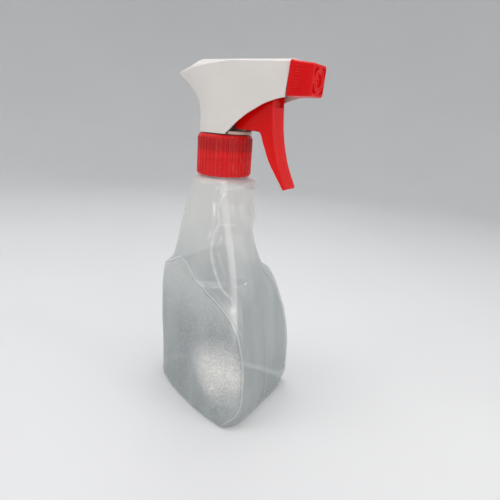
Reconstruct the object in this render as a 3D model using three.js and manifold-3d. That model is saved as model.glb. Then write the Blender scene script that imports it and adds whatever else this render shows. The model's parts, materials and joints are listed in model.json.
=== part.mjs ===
// Trigger spray bottle: blow-moulded bottle, screw collar and trigger pump head.
// Millimetres, +Z up. The origin is on the neck axis at the underside of the base,
// and the nozzle sprays towards +X.

import * as THREE from 'three';
import { mergeVertices } from 'three/addons/utils/BufferGeometryUtils.js';
import Module from 'manifold-3d';

const wasm = await Module();
wasm.setup();

// ---------------------------------------------------------------- dimensions

// Bottle
const WALL = 1.1;
const BASE_WALL = 1.3;
const BASE_FILLET = 2;
const SHOULDER_TOP = 151.3;
const MOUTH = 173;
const NECK_RADIUS = 12.3;
const NECK_BORE = 10.7;

// Neck finish thread
const PITCH = 4.23;
const THREAD_TURNS = 1.25;
const THREAD_CREST = 13.7;
const BOTTLE_THREAD_START = 164.2;

// Screw collar
const COLLAR_BOTTOM = 152;
const COLLAR_TOP = 176.5;
const COLLAR_RADIUS = 16.9;
const COLLAR_RIB_DEPTH = 0.6;
const COLLAR_RIBS = 40;
const COLLAR_BORE = 14.3;
const COLLAR_LIP_RADIUS = 11.2;
const COLLAR_THREAD_CREST = 12.95;

// Pump body
const FLANGE_RADIUS = 12.6;
const FLANGE_BOTTOM = 174.2;
const PLATFORM_BOTTOM = 177;
const PLATFORM_TOP = 178.8;
const STEM_RADIUS = 5.4;
const STEM_BORE = 2.2;
const SOCKET_RADIUS = 6.4;
const SOCKET_BORE = 4.3;
const SOCKET_BOTTOM = 158;
const CYLINDER_Z = 186.5;
const CYLINDER_RADIUS = 4.8;
const CYLINDER_BORE = 3.9;
const CYLINDER_BACK = 10;
const CYLINDER_MOUTH = 27;

// Discharge barrel, with its own tilted axis
const SPRAY_TILT = THREE.MathUtils.degToRad(2.8);
const SPRAY_ORIGIN = new THREE.Vector3(44.4, 0, 208.5);
const BARREL_RADIUS = 4.5;
const BARREL_BORE = 1.6;

// Trigger
const PIVOT = new THREE.Vector3(32.6, 0, 201.5);
const PIN_RADIUS = 1.4;
const TRIGGER_HALF_WIDTH = 6.4;
const TRIGGER_WALL = 1.3;

// Shroud
const SHROUD_BOTTOM = 177.2;
const SHROUD_WALL = 1.4;

// Nozzle
const NOZZLE_LENGTH = 13.8;
const NOZZLE_HALF = 9.25;
const NOZZLE_TAPER = Math.tan(THREE.MathUtils.degToRad(3.8));
const NOZZLE_BORE = 5.3;

// ---------------------------------------------------------------- materials

function plastic(color, roughness, extra = {}) {
  return new THREE.MeshStandardMaterial({ color, roughness, metalness: 0, ...extra });
}

const milky = plastic(0xbfc5c2, 0.35, { transparent: true, opacity: 0.7 });
const redGloss = plastic(0xd20c10, 0.3);
const redCollar = plastic(0xc4181c, 0.38);
const redBright = plastic(0xdc1a16, 0.33);
const offWhite = plastic(0xded8d0, 0.42);
const beige = plastic(0xd6cbbd, 0.45);
const clearPoly = plastic(0xe4e6e2, 0.3, { transparent: true, opacity: 0.8 });
const rubber = plastic(0x3a3a3a, 0.7);
const steel = new THREE.MeshStandardMaterial({ color: 0xb8babd, roughness: 0.3, metalness: 1 });

// ---------------------------------------------------------------- helpers

// Smooth monotone curve through [position, value] pairs.
function curve(keys) {
  const slopes = keys.slice(1).map(([x, y], i) => (y - keys[i][1]) / (x - keys[i][0]));
  const tangents = keys.map((_, i) => {
    const before = slopes[i - 1] ?? 0;
    const after = slopes[i] ?? 0;
    return before * after > 0 ? (2 * before * after) / (before + after) : 0;
  });
  return (x) => {
    if (x <= keys[0][0]) return keys[0][1];
    const last = keys.length - 1;
    if (x >= keys[last][0]) return keys[last][1];
    const i = keys.findIndex(([position]) => position > x) - 1;
    const span = keys[i + 1][0] - keys[i][0];
    const t = (x - keys[i][0]) / span;
    const bend = t * t * (3 - 2 * t);
    return keys[i][1] * (1 - bend) + keys[i + 1][1] * bend
      + span * (t * (1 - t) ** 2 * tangents[i] - t * t * (1 - t) * tangents[i + 1]);
  };
}

function smoothMin(a, b, blend) {
  const h = Math.max(blend - Math.abs(a - b), 0) / blend;
  return Math.min(a, b) - h * h * blend / 4;
}

function bare(geometry) {
  const copy = geometry.index ? geometry.clone() : geometry;
  copy.deleteAttribute('normal');
  copy.deleteAttribute('uv');
  return mergeVertices(copy, 1e-4);
}

function signedVolume(vertices, triangles) {
  const [a, b, c] = [new THREE.Vector3(), new THREE.Vector3(), new THREE.Vector3()];
  let total = 0;
  for (let i = 0; i < triangles.length; i += 3) {
    a.fromArray(vertices, triangles[i] * 3);
    b.fromArray(vertices, triangles[i + 1] * 3);
    c.fromArray(vertices, triangles[i + 2] * 3);
    total += a.dot(b.cross(c));
  }
  return total / 6;
}

function indexed(vertices, triangles) {
  if (signedVolume(vertices, triangles) < 0) triangles.reverse();
  const geometry = new THREE.BufferGeometry();
  geometry.setAttribute('position', new THREE.Float32BufferAttribute(vertices, 3));
  geometry.setIndex(triangles);
  return geometry;
}

// Skin over a row of closed rings, with a fan over the first and last ring.
function loft(rings) {
  const vertices = [];
  const triangles = [];
  const count = rings[0].length;
  rings.flat().forEach((point) => vertices.push(point.x, point.y, point.z));
  for (let row = 0; row < rings.length - 1; row++) {
    for (let i = 0; i < count; i++) {
      const a = row * count + i;
      const b = row * count + (i + 1) % count;
      triangles.push(a, b, a + count, b, b + count, a + count);
    }
  }
  [0, rings.length - 1].forEach((row, end) => {
    const middle = new THREE.Vector3();
    rings[row].forEach((point) => middle.add(point));
    middle.divideScalar(count);
    const centre = vertices.length / 3;
    vertices.push(middle.x, middle.y, middle.z);
    for (let i = 0; i < count; i++) {
      const a = row * count + i;
      const b = row * count + (i + 1) % count;
      triangles.push(...(end === 0 ? [centre, b, a] : [centre, a, b]));
    }
  });
  return indexed(vertices, triangles);
}

function solid(geometry) {
  const { index, attributes } = bare(geometry);
  return new wasm.Manifold(new wasm.Mesh({
    numProp: 3,
    vertProperties: new Float32Array(attributes.position.array),
    triVerts: new Uint32Array(index.array),
  }));
}

function geometryOf(manifold) {
  const { vertProperties, triVerts } = manifold.getMesh();
  return indexed(Array.from(vertProperties), Array.from(triVerts));
}

function combine(first, { add = [], cut = [] }) {
  let result = solid(first);
  add.forEach((geometry) => { result = result.add(solid(geometry)); });
  cut.forEach((geometry) => { result = result.subtract(solid(geometry)); });
  return geometryOf(result);
}

// Turned shape about +Z from [radius, height] pairs.
function turned(profile, segments = 24) {
  const points = profile.map(([radius, height]) => new THREE.Vector2(radius, height));
  const geometry = bare(new THREE.LatheGeometry(points, segments)).rotateX(Math.PI / 2);
  return indexed(Array.from(geometry.attributes.position.array), Array.from(geometry.index.array));
}

function rod(radius, from, to, segments = 24) {
  return turned([[0, from], [radius, from], [radius, to], [0, to]], segments);
}

function ring(inner, outer, from, to, segments = 24) {
  return turned([[inner, from], [outer, from], [outer, to], [inner, to], [inner, from]], segments);
}

// Turns a shape made about +Z so that its axis runs along +X.
function alongX(geometry) {
  return geometry.rotateY(Math.PI / 2);
}

// Moves a shape made along +X from the spray axis frame into the object's frame.
function onSprayAxis(geometry) {
  return geometry.rotateY(SPRAY_TILT).translate(SPRAY_ORIGIN.x, 0, SPRAY_ORIGIN.z);
}

function box(x0, x1, y0, y1, z0, z1) {
  return new THREE.BoxGeometry(x1 - x0, y1 - y0, z1 - z0)
    .translate((x0 + x1) / 2, (y0 + y1) / 2, (z0 + z1) / 2);
}

// Slab cut from an outline in the XZ plane, between two Y values.
function slab(outline, y0, y1) {
  const shape = new THREE.Shape(outline.map(([x, z]) => new THREE.Vector2(x, z)));
  return new THREE.ExtrudeGeometry(shape, { depth: y1 - y0, bevelEnabled: false })
    .rotateX(Math.PI / 2)
    .translate(0, y1, 0);
}

// Helical ridge about +Z, widest at its foot.
function threadRidge(footRadius, crestRadius, start, turns, footWidth, crestWidth) {
  const steps = Math.round(turns * 20);
  const rings = [];
  for (let i = 0; i <= steps; i++) {
    const t = i / steps;
    const angle = t * turns * 2 * Math.PI;
    const fade = Math.min(1, 0.15 + 6 * Math.min(t, 1 - t));
    const crest = footRadius + (crestRadius - footRadius) * fade;
    const middle = start + t * turns * PITCH;
    const corners = [[footRadius, -footWidth / 2], [crest, -crestWidth / 2],
      [crest, crestWidth / 2], [footRadius, footWidth / 2]];
    rings.push(corners.map(([radius, offset]) => new THREE.Vector3(
      radius * Math.cos(angle), radius * Math.sin(angle), middle + offset)));
  }
  return loft(rings);
}

class Helix extends THREE.Curve {
  constructor(radius, length, turns) {
    super();
    Object.assign(this, { radius, length, turns });
  }

  getPoint(t, target = new THREE.Vector3()) {
    const angle = t * this.turns * 2 * Math.PI;
    return target.set(this.length * t, this.radius * Math.cos(angle), this.radius * Math.sin(angle));
  }
}

function circleShape(radius, sides) {
  const corners = Array.from({ length: sides }, (_, i) => new THREE.Vector2(
    radius * Math.cos(2 * Math.PI * i / sides), radius * Math.sin(2 * Math.PI * i / sides)));
  return new THREE.Shape(corners);
}

function coil(meanRadius, wire, length, turns, stepsPerTurn) {
  const extrudePath = new Helix(meanRadius, length, turns);
  const steps = Math.round(turns * stepsPerTurn);
  return new THREE.ExtrudeGeometry(circleShape(wire / 2, 6), { steps, extrudePath });
}

const assembly = new THREE.Group();

function place(name, geometry, material) {
  const mesh = new THREE.Mesh(geometry, material);
  mesh.name = name;
  assembly.add(mesh);
}

// ---------------------------------------------------------------- bottle

// Reach of the moulded body from the neck axis: to the front, to the side and to the back.
const frontReach = curve([[0, 41.7], [4.3, 41.8], [9, 42.8], [17, 43.5], [28, 43.2], [36, 42.8],
  [42, 42.2], [50.6, 40.9], [58.8, 39.2], [66.2, 38.2], [72, 37.6], [77, 37.1], [82, 36.2],
  [88, 33.8], [94, 31], [100, 28.2], [106, 25.6], [112, 23.4], [119.5, 21.8], [128, 23.2],
  [138, 20.8], [146, 22.8], [149, 21.6], [150.6, 18], [151.3, 12.3]]);
const sideReach = curve([[0, 39.4], [10, 40.8], [17, 41.2], [28, 42.5], [36, 42], [42, 39.7],
  [50.6, 37.8], [58.8, 36], [66.2, 36.8], [72, 37.3], [77, 36.9], [83.3, 35.9], [88.6, 34.6],
  [90.5, 30.8], [92.4, 29.4], [98, 27], [105, 24.8], [112, 23.2], [120, 21.8], [138, 19.8],
  [147, 19.2], [150.6, 17], [151.3, 12.3]]);
const backReach = curve([[80, 60], [84, 46], [87, 41], [90, 37.8], [93.5, 34.2], [97, 32.4],
  [105, 30.5], [114, 28.9], [122.7, 26.9], [131, 24.8], [139.6, 22], [147.8, 19],
  [150.6, 17], [151.3, 12.3]]);
const frontSquareness = curve([[0, 5.3], [10, 6.6], [20, 6.8], [40, 8], [58.8, 7], [66.2, 4.5],
  [72, 3.5], [77, 3], [83.3, 2.5], [88.6, 2.2], [92, 2]]);

// Side panels: plan outlines by angle from the spray direction, at the foot and higher up.
const footPlan = curve([[0, 46], [24, 49.8], [32.6, 52.2], [39.2, 53.2], [43.5, 52.2],
  [47.5, 49.6], [52, 45.8], [58.3, 41.6], [68, 36.4], [79.2, 32.5], [92, 29.6], [105, 28.5],
  [118.6, 28.7], [134, 30.8], [149, 34.6], [160, 39], [168, 42.4], [174, 44.2], [180, 44.8]]);
const upperPlan = curve([[0, 56], [28, 56], [32.2, 54.4], [34, 51.6], [35.6, 49.4], [37.7, 47.6],
  [40.5, 45.4], [44.3, 43.5], [49.6, 41.4], [57.9, 38.4], [67, 36.1], [79.2, 32.4], [92, 29.4],
  [105, 28.4], [118.6, 28.7], [134, 30.8], [149, 34.6], [160, 39], [168, 42.4], [174, 44.2],
  [180, 44.8]]);
const planChange = curve([[4, 0], [24, 0.5], [42, 0.9], [54, 1]]);
const backDraft = curve([[0, 1], [20, 1.005], [50, 1.03], [68, 1.03], [85, 0.99], [95, 0.96]]);

// Finger grip: a shallow recess in front of this angle.
const gripEdge = curve([[70, 36], [76.7, 39.7], [82.9, 42.3], [86.5, 47.4], [89.6, 51.7],
  [95, 57.4], [101.4, 62.9], [108, 66.9], [113, 66.6], [118.5, 64.7], [122.5, 60], [124.9, 57.1],
  [128, 59.5], [133.2, 60.5], [138.7, 56.4], [142.9, 50], [145.6, 43.7], [148, 36]]);
const GRIP_DEPTH = 2;

function panelRadius(degrees, z) {
  const plan = THREE.MathUtils.lerp(footPlan(degrees), upperPlan(degrees), planChange(z));
  const towardsBack = THREE.MathUtils.smoothstep(degrees, 55, 110);
  return plan * THREE.MathUtils.lerp(1, backDraft(z), towardsBack);
}

function bottleRadius(angle, z) {
  const degrees = Math.abs(THREE.MathUtils.radToDeg(angle));
  const forward = Math.cos(angle);
  const power = forward > 0 ? frontSquareness(z) : 2;
  const reach = forward > 0 ? frontReach(z) : backReach(z);
  const upper = ((Math.abs(forward) / reach) ** power
    + (Math.abs(Math.sin(angle)) / sideReach(z)) ** power) ** (-1 / power);
  const inGrip = THREE.MathUtils.smoothstep(gripEdge(z) - degrees, 0, 9)
    * THREE.MathUtils.smoothstep(degrees, 12, 34)
    * THREE.MathUtils.smoothstep(z, 74, 90) * (1 - THREE.MathUtils.smoothstep(z, 144, 148));
  const fillet = BASE_FILLET - Math.sqrt(Math.max(0, BASE_FILLET ** 2
    - Math.max(0, BASE_FILLET - z) ** 2));
  return smoothMin(upper - GRIP_DEPTH * inGrip, panelRadius(degrees, z), 1.5) - fillet;
}

const halfAngles = [0, 12, 22, 30, 34, 38, 43, 50, 58, 68, 80, 94, 110, 127, 142, 154, 164, 172,
  180];
const bottleAngles = [...halfAngles, ...halfAngles.slice(1, -1).reverse().map((a) => -a)]
  .map(THREE.MathUtils.degToRad);
const bodyHeights = [0, 0.6, 2.2, 10, 20, 34, 48, 58, 66, 72, 78, 83, 87, 89.5, 91.5, 95, 100,
  106, 113, 119.5, 124, 128, 133, 138, 142, 146, 149, 150.6];

function bottleRing(z, radiusAt) {
  return bottleAngles.map((angle) => new THREE.Vector3(
    radiusAt(angle) * Math.cos(angle), radiusAt(angle) * Math.sin(angle), z));
}

function makeBottle() {
  const outer = bodyHeights.map((z) => bottleRing(z, (angle) => bottleRadius(angle, z)));
  outer.push(bottleRing(SHOULDER_TOP, () => NECK_RADIUS), bottleRing(MOUTH, () => NECK_RADIUS));
  const inner = bodyHeights.filter((z) => z > 2 && z < 150).map((z) => {
    const inset = z < 140 ? WALL : WALL + (z - 140) * 0.12;
    return bottleRing(z, (angle) => bottleRadius(angle, z) - inset);
  });
  inner.unshift(bottleRing(BASE_WALL, (angle) => bottleRadius(angle, 1) - WALL - 1));
  inner.push(bottleRing(150, () => NECK_BORE), bottleRing(MOUTH, () => NECK_BORE));
  const shell = loft([...outer, ...inner.reverse()]);
  const thread = threadRidge(NECK_RADIUS - 0.3, THREAD_CREST, BOTTLE_THREAD_START,
    THREAD_TURNS, 2.2, 1);
  return combine(shell, { add: [thread] });
}

place('bottle', makeBottle(), milky);

// ---------------------------------------------------------------- screw collar

function collarRibs() {
  const corners = [];
  for (let i = 0; i < COLLAR_RIBS; i++) {
    const pattern = [[-0.3, COLLAR_RADIUS - COLLAR_RIB_DEPTH], [-0.2, COLLAR_RADIUS],
      [0.2, COLLAR_RADIUS], [0.3, COLLAR_RADIUS - COLLAR_RIB_DEPTH]];
    pattern.forEach(([offset, radius]) => {
      const angle = 2 * Math.PI * (i + offset) / COLLAR_RIBS;
      corners.push(new THREE.Vector2(radius * Math.cos(angle), radius * Math.sin(angle)));
    });
  }
  return new THREE.ExtrudeGeometry(new THREE.Shape(corners), { depth: 22, bevelEnabled: false })
    .translate(0, 0, COLLAR_BOTTOM + 0.6);
}

function makeCollar() {
  const rim = COLLAR_RADIUS - COLLAR_RIB_DEPTH;
  const cup = turned([[0, COLLAR_BOTTOM], [rim, COLLAR_BOTTOM], [rim, COLLAR_TOP - 1.2],
    [rim - 0.5, COLLAR_TOP - 0.3], [rim - 1.2, COLLAR_TOP], [0, COLLAR_TOP]], 40);
  const bore = rod(COLLAR_BORE, COLLAR_BOTTOM - 1, COLLAR_TOP - 1.2, 40);
  const mouth = rod(COLLAR_LIP_RADIUS, COLLAR_TOP - 2, COLLAR_TOP + 1, 32);
  const shell = combine(cup, { add: [collarRibs()], cut: [bore, mouth] });
  const thread = threadRidge(COLLAR_BORE + 0.3, COLLAR_THREAD_CREST,
    BOTTLE_THREAD_START - PITCH / 2 - PITCH, THREAD_TURNS, 1.9, 0.9);
  return combine(shell, { add: [thread] });
}

place('closure_collar', makeCollar(), redCollar);
place('mouth_gasket', ring(10.9, FLANGE_RADIUS, MOUTH + 0.1, FLANGE_BOTTOM - 0.1, 32), rubber);

// ---------------------------------------------------------------- pump body

const VENT_RADIUS = 1.2;
const VENT_Y = 8.4;

function makePumpBody() {
  const axis = (geometry) => alongX(geometry).translate(0, 0, CYLINDER_Z);
  const wide = combine(rod(15.9, PLATFORM_BOTTOM, PLATFORM_TOP, 40),
    { cut: [box(-20, 10.2, -20, 20, PLATFORM_BOTTOM - 1, PLATFORM_TOP + 1)] });
  const rootX = -SPRAY_ORIGIN.x;
  return combine(rod(FLANGE_RADIUS, FLANGE_BOTTOM, FLANGE_BOTTOM + 1, 32), {
    add: [
      rod(10.8, FLANGE_BOTTOM + 0.5, PLATFORM_BOTTOM + 0.5, 32),
      rod(13.2, PLATFORM_BOTTOM, PLATFORM_TOP, 36),
      wide,
      rod(SOCKET_RADIUS, SOCKET_BOTTOM, FLANGE_BOTTOM + 0.5),
      rod(STEM_RADIUS, PLATFORM_BOTTOM, 210),
      axis(rod(CYLINDER_RADIUS, 0, CYLINDER_MOUTH)),
      box(4, 14, -1, 1, PLATFORM_TOP - 0.5, CYLINDER_Z),
      onSprayAxis(alongX(rod(BARREL_RADIUS, rootX - 7.5, 1))),
      onSprayAxis(alongX(rod(4, 0.5, 9.2))),
      box(30.2, 35, -4.4, 4.4, PIVOT.z - 1.8, 206),
      rod(PIN_RADIUS, -6.3, 6.3, 16).rotateX(Math.PI / 2).translate(PIVOT.x, 0, PIVOT.z),
    ],
    cut: [
      rod(SOCKET_BORE, SOCKET_BOTTOM - 1, 169),
      rod(2.9, 168.5, 174.5, 16),
      rod(STEM_BORE, 174, 210.5, 16),
      axis(rod(1.2, 0, CYLINDER_BACK + 1, 12)),
      axis(rod(CYLINDER_BORE, CYLINDER_BACK, CYLINDER_MOUTH + 1)),
      onSprayAxis(alongX(rod(BARREL_BORE, rootX - 9, 0, 16))),
      onSprayAxis(alongX(rod(2.7, -0.6, 10, 20))),
      rod(VENT_RADIUS, FLANGE_BOTTOM - 1, PLATFORM_TOP + 1, 12).translate(0, VENT_Y, 0),
    ],
  });
}

place('pump_body', makePumpBody(), beige);

place('tube_retainer', turned([[2.25, 157], [5.6, 157], [5.6, 157.8], [4.15, 157.8],
  [4.15, 168.7], [2.4, 168.7], [1.2, 167], [1.2, 165.6], [2.25, 165.6], [2.25, 157]], 20), beige);
place('inlet_ball', new THREE.SphereGeometry(2, 16, 10).translate(0, 0, 169.15), steel);

function makeDipTube() {
  const route = new THREE.CatmullRomCurve3([[0, 165.3], [0.1, 152], [1.6, 136], [4.8, 120],
    [8.4, 104], [11.6, 88], [13.8, 70], [15, 50], [15.3, 30], [14.8, 7]]
    .map(([x, z]) => new THREE.Vector3(x, 0, z)));
  const shape = circleShape(2.1, 8);
  shape.holes.push(circleShape(1.4, 8));
  return new THREE.ExtrudeGeometry(shape, { steps: 18, extrudePath: route });
}

place('dip_tube', makeDipTube(), clearPoly);
place('vent_plug', combine(rod(1, 173.4, 176.4, 12), {
  add: [rod(2, 172.9, 173.9, 12)],
}).translate(0, VENT_Y, 0), rubber);
place('passage_plug', onSprayAxis(combine(alongX(rod(1.45, -51.7, -49, 12)), {
  add: [alongX(rod(2.6, -52.9, -52.1, 16)), alongX(rod(1.45, -52.3, -51.5, 12))],
})), beige);

// ---------------------------------------------------------------- piston

place('pump_piston', alongX(turned([[0, 21], [3.6, 21], [3.6, 22], [2.8, 22], [2.8, 23.4],
  [3.6, 23.4], [3.6, 24.6], [2.1, 25.4], [2.1, 33.2], [1.8, 34], [1.1, 34.5], [0, 34.7]], 20))
  .translate(0, 0, CYLINDER_Z), offWhite);
place('piston_seal', alongX(ring(2.9, 3.75, 22.1, 23.3, 20)).translate(0, 0, CYLINDER_Z), rubber);
place('return_spring', coil(3, 0.6, 9.8, 5, 12).translate(10.65, 0, CYLINDER_Z), steel);

// ---------------------------------------------------------------- outlet valve and nozzle

place('outlet_valve', onSprayAxis(alongX(turned([[0, -0.3], [2.3, -0.3], [2.3, 0.9],
  [1.1, 1.1], [1.1, 2.6], [0, 2.6]], 16))), rubber);
place('outlet_spring', onSprayAxis(coil(1.7, 0.4, 3.6, 3.5, 10).translate(1.4, 0, 0)), steel);
place('swirl_core', onSprayAxis(alongX(turned([[0, 5.4], [2.5, 5.4], [2.5, 9.4], [3.6, 9.4],
  [3.6, 9.9], [0, 9.9]], 20))), offWhite);
place('nozzle_seal', onSprayAxis(alongX(ring(4.1, 5.1, 4, 5.6, 20))), rubber);

function nozzleRing(x) {
  const half = NOZZLE_HALF - x * NOZZLE_TAPER;
  const chamfer = 1;
  const outline = [];
  [[1, 1], [-1, 1], [-1, -1], [1, -1]].forEach(([sy, sz]) => {
    const pair = [[sy * half, sz * (half - chamfer)], [sy * (half - chamfer), sz * half]];
    if (sy * sz < 0) pair.reverse();
    outline.push(...pair);
  });
  return outline.map(([y, z]) => new THREE.Vector3(x, y, z));
}

function makeNozzle() {
  const grips = [];
  for (let i = -4; i <= 4; i++) {
    grips.push(box(3.2, 7, -9.1, 9.1, i * 1.5 - 0.3, i * 1.5 + 0.3));
  }
  const block = loft([nozzleRing(0), nozzleRing(NOZZLE_LENGTH)]);
  return onSprayAxis(combine(block, {
    add: grips,
    cut: [
      alongX(rod(NOZZLE_BORE, -1, 10.2, 28)),
      alongX(rod(3.4, NOZZLE_LENGTH - 1, NOZZLE_LENGTH + 1, 24)),
      alongX(rod(0.5, 8, NOZZLE_LENGTH + 1, 10)),
    ],
  }));
}

place('nozzle', makeNozzle(), redGloss);

// ---------------------------------------------------------------- trigger

const leverFront = [[35.5, 198.4], [35.9, 196], [36.2, 190], [36.7, 184], [37.6, 178], [39.1, 171],
  [41.5, 163], [44.5, 156], [47.5, 150]];
const leverBack = [[46.6, 148.8], [45.3, 149.2], [42.5, 153.4], [39.5, 157.6], [36.5, 161.7],
  [34.1, 165.9], [32.2, 170.2], [30.5, 173.8], [29.4, 176.8], [28, 179.2], [26.2, 180.2]];
const cheekTop = [[11.2, 180.2], [10.3, 181.2], [13, 187.5], [20, 192.5], [26, 196], [28.6, 199.5],
  [29.4, 203], [31.2, 204.8], [34.4, 204.8], [36, 203]];

function makeTrigger() {
  const width = TRIGGER_HALF_WIDTH;
  const inside = width - TRIGGER_WALL;
  const channel = [[5, 210], [45, 210], [45, 198.8], [33, 198.8], [33, 192.6],
    ...leverFront.slice(2, -1).map(([x, z]) => [x - TRIGGER_WALL - 0.1, Math.min(z, 192.6)]),
    [5, 156]];
  const outline = [...leverFront, ...leverBack, ...cheekTop];
  return combine(slab(outline, -width, width), {
    cut: [
      slab(channel, -inside, inside),
      rod(PIN_RADIUS + 0.1, -9, 9, 16).rotateX(Math.PI / 2).translate(PIVOT.x, 0, PIVOT.z),
      box(34.4, 38, -inside + 0.3, inside - 0.3, 194, 200),
    ],
  });
}

place('trigger', makeTrigger(), redBright);

// ---------------------------------------------------------------- shroud

const shroudBack = curve([[177.2, -15.9], [184, -15.9], [189.3, -16.5], [192.8, -17.4],
  [197.9, -20.4], [202.3, -25], [207.1, -31.3], [209.9, -35.4], [211.6, -36.6], [212.4, -36.8]]);
const shroudFront = curve([[177.2, 9.5], [180.1, 12.1], [183.6, 15.3], [186.5, 18.5],
  [189.4, 22.3], [191.7, 26], [195, 31.6], [197.8, 38.9], [199.2, 43.6], [220, 44.6]]);
const shroudSide = curve([[177.2, 15.4], [190, 14.8], [219.3, 14.2]]);
// Roof: ridge height, and how far it falls from the ridge to the side, by station along X.
const roofRidge = (x) => Math.min(218.9, 210.3 + (x + 34.6) * 0.54);
const roofFall = curve([[-37, 1.5], [-27.4, 5.6], [-20, 7.2], [-14.4, 5.9], [-3.6, 3.8], [4, 2.9],
  [11, 2.2], [44, 1.9]]);

function shroudRing(z, inset, extraFront) {
  const back = shroudBack(z) + inset;
  const front = shroudFront(z) + extraFront;
  const stations = [0, 0.008, 0.035, 0.08, 0.15, 0.24, 0.36, 0.5, 0.7, 1];
  const half = stations.map((t) => {
    const x = back + (front - back) * t;
    const tail = x < 0 ? Math.sqrt(Math.max(0, 1 - (x / back) ** 2)) : 1;
    const taper = 1 - Math.max(0, x - 4) * (1 - 9.4 / 14.4) / 39.4;
    return new THREE.Vector3(x, Math.max(0.4, (shroudSide(z) - inset) * tail * taper), z);
  });
  return [...half, ...half.toReversed().map((p) => new THREE.Vector3(p.x, -p.y, z))];
}

function roofSection(x, drop) {
  const reach = 14.4 * (1 - Math.max(0, x - 4) * (1 - 9.4 / 14.4) / 39.4);
  const half = [0, 0.25, 0.5, 0.75, 1, 1.25].map((t) => {
    const fall = roofFall(x) * t ** 1.4;
    return new THREE.Vector3(x, t * reach, roofRidge(x) - fall - drop);
  });
  return [...half, new THREE.Vector3(x, 1.25 * reach, 160), new THREE.Vector3(x, -1.25 * reach, 160),
    ...half.slice(1).reverse().map((p) => new THREE.Vector3(p.x, -p.y, p.z))];
}

function shroudBlock(inset, levels, extraFront) {
  const roof = loft([-38, -34.6, -30, -25, -20.5, -16, -10, -4, 3, 11, 25, 43.4, 52]
    .map((x) => roofSection(x, inset)));
  return solid(loft(levels.map((z) => shroudRing(z, inset, extraFront)))).intersect(solid(roof));
}

function makeShroud() {
  const levels = [177.2, 180.1, 183.6, 186.5, 189.4, 191.7, 195, 197.8, 199.2, 202, 205, 208,
    210, 211.6];
  const outer = shroudBlock(0, [...levels, 220], 0);
  const inner = shroudBlock(SHROUD_WALL, [175, ...levels.slice(1), 220], 6);
  return geometryOf(outer.subtract(inner));
}

place('shroud', makeShroud(), offWhite);

export default assembly;
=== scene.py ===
import json
import math

import bpy
import numpy as np
from mathutils import Matrix, Vector


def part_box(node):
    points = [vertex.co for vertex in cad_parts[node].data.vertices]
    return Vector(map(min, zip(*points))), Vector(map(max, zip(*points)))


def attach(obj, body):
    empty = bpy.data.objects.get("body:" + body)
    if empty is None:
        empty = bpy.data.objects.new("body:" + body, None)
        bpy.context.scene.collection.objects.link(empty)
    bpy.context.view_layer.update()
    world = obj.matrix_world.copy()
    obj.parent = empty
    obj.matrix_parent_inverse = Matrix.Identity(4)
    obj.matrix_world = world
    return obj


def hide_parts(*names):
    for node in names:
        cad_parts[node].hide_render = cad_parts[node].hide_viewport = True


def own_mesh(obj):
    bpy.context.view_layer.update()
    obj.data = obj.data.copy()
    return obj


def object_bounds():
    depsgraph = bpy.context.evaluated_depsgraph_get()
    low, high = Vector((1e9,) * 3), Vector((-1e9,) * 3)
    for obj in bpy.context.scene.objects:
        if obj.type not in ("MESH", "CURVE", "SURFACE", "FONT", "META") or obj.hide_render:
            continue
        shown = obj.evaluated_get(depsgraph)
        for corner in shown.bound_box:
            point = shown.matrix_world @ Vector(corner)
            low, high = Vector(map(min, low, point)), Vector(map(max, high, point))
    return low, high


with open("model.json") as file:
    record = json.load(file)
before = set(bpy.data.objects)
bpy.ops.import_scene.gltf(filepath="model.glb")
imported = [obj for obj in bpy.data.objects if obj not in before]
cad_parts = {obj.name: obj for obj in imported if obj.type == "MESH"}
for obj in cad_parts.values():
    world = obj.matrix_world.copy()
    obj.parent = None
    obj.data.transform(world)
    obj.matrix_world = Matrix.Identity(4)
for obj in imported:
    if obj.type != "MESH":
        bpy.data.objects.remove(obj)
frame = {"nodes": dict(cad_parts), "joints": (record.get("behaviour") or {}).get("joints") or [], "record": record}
cad_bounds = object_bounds()

# The pieces are in millimetres, +Z up the neck's axis and +X the way the nozzle sprays.
# Materials, floor, lamps and camera are in metres.
MM = 0.001


def joint_place(name):
    """A point on a joint's axis, in millimetres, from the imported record."""
    joint = next(j for j in frame["record"]["behaviour"]["joints"] if j["name"] == name)
    return tuple(value / MM for value in joint["pos_m"])


def height_range(node):
    """Lowest and highest point of a CAD node, in millimetres."""
    low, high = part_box(node)
    return low.z / MM, high.z / MM


SPRAY_ORIGIN = joint_place("nozzle_turn")
PIVOT_X, _, PIVOT_Z = joint_place("trigger_pull")
CYLINDER_Z = sum(height_range("pump_piston")) / 2
BASE, MOUTH = height_range("bottle")
SHROUD_FOOT, ROOF = height_range("shroud")

# The record doesn't hold these, so they repeat part.mjs.
SHOULDER_TOP = 151.3
NECK_RADIUS = 12.3
NECK_BORE = 10.7
PITCH = 4.23
THREAD_START = 164.2
THREAD_TURNS = 1.25
WALL = 1.1


# ------------------------------------------------ number helpers

def smoothstep(x, low, high):
    """From 0 at low to 1 at high, level at both ends."""
    t = np.clip((x - low) / (high - low), 0, 1)
    return t * t * (3 - 2 * t)


def smooth_min(a, b, blend):
    """The lower of two values, with the corner between them rounded."""
    h = np.maximum(blend - np.abs(a - b), 0) / blend
    return np.minimum(a, b) - h * h * blend / 4


def bead(x, width):
    """Round bump of height 1 about x = 0."""
    return np.exp(-(x / width) ** 2)


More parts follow.
